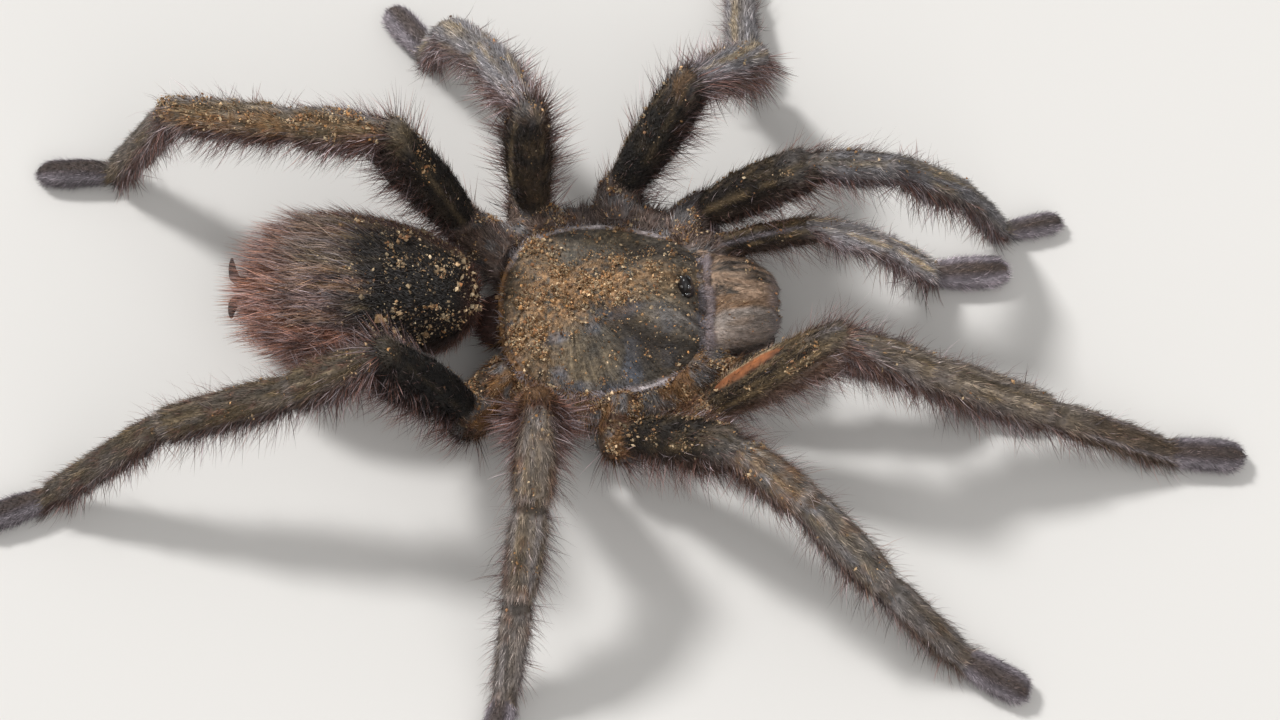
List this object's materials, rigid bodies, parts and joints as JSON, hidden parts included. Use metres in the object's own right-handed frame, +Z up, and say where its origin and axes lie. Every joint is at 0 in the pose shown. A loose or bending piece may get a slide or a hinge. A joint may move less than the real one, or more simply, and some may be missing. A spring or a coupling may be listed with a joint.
{
  "type": "tarantula",
  "caption": "Life-size still model of a walking tarantula with a dusty carapace, hairy legs spread and its palps reaching forward.",
  "frame": {"origin": "on the floor under the middle of the whole animal", "axes": "+X the way the animal faces, +Y to its left, +Z up"},
  "size_m": [0.1112, 0.0838, 0.0202],
  "materials": {
    "carapace": "dusty satin",
    "eyes": "wet gloss",
    "velvet": "dark velvet hair",
    "pile": "grey brown hair",
    "scopula": "dense foot pads",
    "belly": "matt",
    "jaw": "short hair",
    "horn": "polished"
  },
  "bodies": {
    "root": {"right_leg_1_femur": "velvet", "right_leg_1_patella": "pile", "right_leg_1_tibia": "pile", "right_leg_1_metatarsus": "pile", "right_leg_1_tarsus": "scopula", "right_leg_2_femur": "velvet", "right_leg_2_patella": "pile", "right_leg_2_tibia": "pile", "right_leg_2_metatarsus": "pile", "right_leg_2_tarsus": "scopula", "right_leg_3_femur": "velvet", "right_leg_3_patella": "pile", "right_leg_3_tibia": "pile", "right_leg_3_metatarsus": "pile", "right_leg_3_tarsus": "scopula", "right_leg_4_femur": "velvet", "right_leg_4_patella": "pile", "right_leg_4_tibia": "pile", "right_leg_4_metatarsus": "pile", "right_leg_4_tarsus": "scopula", "left_leg_1_femur": "velvet", "left_leg_1_patella": "pile", "left_leg_1_tibia": "pile", "left_leg_1_metatarsus": "pile", "left_leg_1_tarsus": "scopula", "left_leg_2_femur": "velvet", "left_leg_2_patella": "pile", "left_leg_2_tibia": "pile", "left_leg_2_metatarsus": "pile", "left_leg_2_tarsus": "scopula", "left_leg_3_femur": "velvet", "left_leg_3_patella": "pile", "left_leg_3_tibia": "pile", "left_leg_3_metatarsus": "pile", "left_leg_3_tarsus": "scopula", "left_leg_4_femur": "velvet", "left_leg_4_patella": "pile", "left_leg_4_tibia": "pile", "left_leg_4_metatarsus": "pile", "left_leg_4_tarsus": "scopula", "right_palp_femur": "velvet", "right_palp_patella": "pile", "right_palp_tibia": "pile", "right_palp_tarsus": "scopula", "left_palp_femur": "velvet", "left_palp_patella": "pile", "left_palp_tibia": "pile", "left_palp_tarsus": "scopula", "carapace": "carapace", "eye_mound": "eyes", "chelicera_right": "jaw", "fang_right": "horn", "chelicera_left": "jaw", "fang_left": "horn", "sternum_and_coxae": "belly", "pedicel": "belly", "abdomen": "velvet", "spinneret_right": "horn", "spinneret_left": "horn"}
  },
  "joints": []
}
